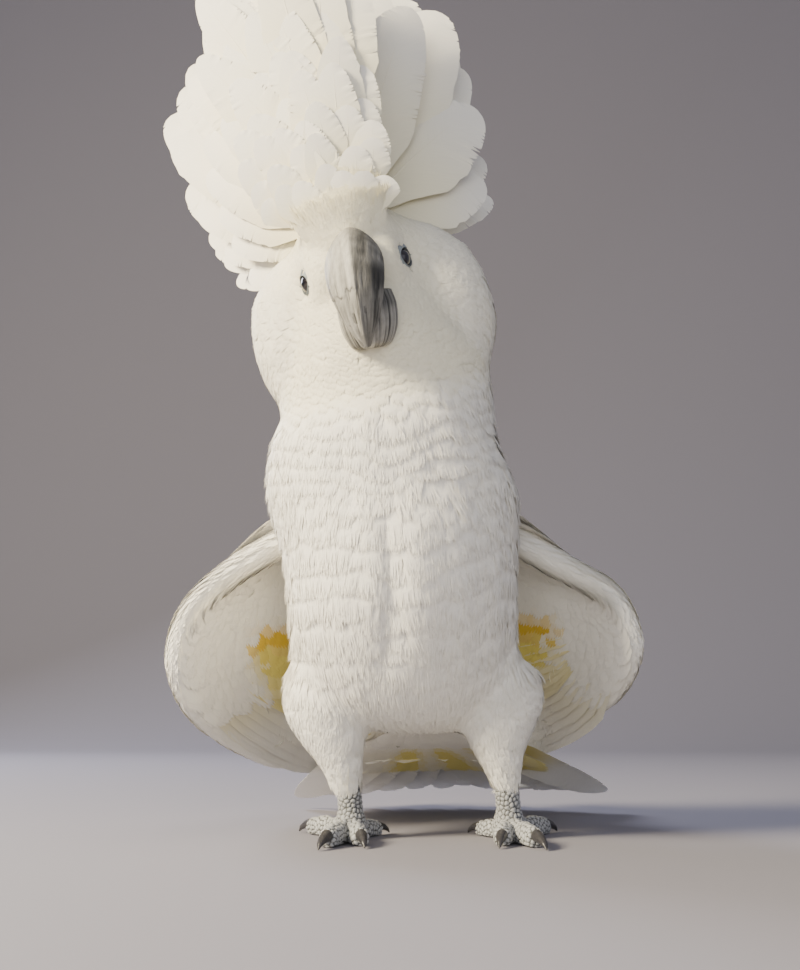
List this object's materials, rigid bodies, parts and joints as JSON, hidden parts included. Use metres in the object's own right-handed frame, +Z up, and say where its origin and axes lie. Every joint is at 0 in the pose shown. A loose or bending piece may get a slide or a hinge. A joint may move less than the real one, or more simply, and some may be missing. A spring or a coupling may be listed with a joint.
{
  "type": "white cockatoo model",
  "caption": "White cockatoo standing upright with raised crest, drooped half-open wings and fanned tail, a still life-size model.",
  "frame": {"origin": "on the floor, under the middle of the bird's outer box", "axes": "+Z up; the bird faces -Y; +X is the bird's left-hand side, which is on the right as a viewer faces it"},
  "size_m": [0.2563, 0.3162, 0.4759],
  "materials": {
    "down": "soft white body feathers with a faint cream cast",
    "vane": "smooth white feather vanes",
    "yellow_vane": "white flight feathers washed with lemon to golden yellow below",
    "bill": "grey horn with pale powder and fine flaking",
    "foot_skin": "pale grey granular scales with dark furrows",
    "claw": "dark grey horn",
    "eye": "glossy near-black"
  },
  "bodies": {
    "root": {"trunk": "down", "neck": "down", "head": "down", "cheek_left": "down", "cheek_right": "down", "thigh_left": "down", "thigh_right": "down", "tail_coverts": "down", "crest_brow": "down", "wing_left_arm_coverts": "down", "wing_left_hand_coverts": "down", "wing_right_arm_coverts": "down", "wing_right_hand_coverts": "down", "crest_fore": "vane", "crest_middle": "vane", "crest_rear": "vane", "tail_quills": "vane", "wing_left_tips": "vane", "wing_right_tips": "vane", "wing_left_secondaries": "yellow_vane", "wing_left_primaries": "yellow_vane", "wing_right_secondaries": "yellow_vane", "wing_right_primaries": "yellow_vane", "bill_upper": "bill", "bill_lower": "bill", "shank_left": "foot_skin", "foot_left": "foot_skin", "shank_right": "foot_skin", "foot_right": "foot_skin", "claw_left_front_inner": "claw", "claw_left_front_outer": "claw", "claw_left_back_outer": "claw", "claw_left_back_inner": "claw", "claw_right_front_inner": "claw", "claw_right_front_outer": "claw", "claw_right_back_outer": "claw", "claw_right_back_inner": "claw", "eye_left": "eye", "eye_right": "eye"}
  },
  "joints": []
}
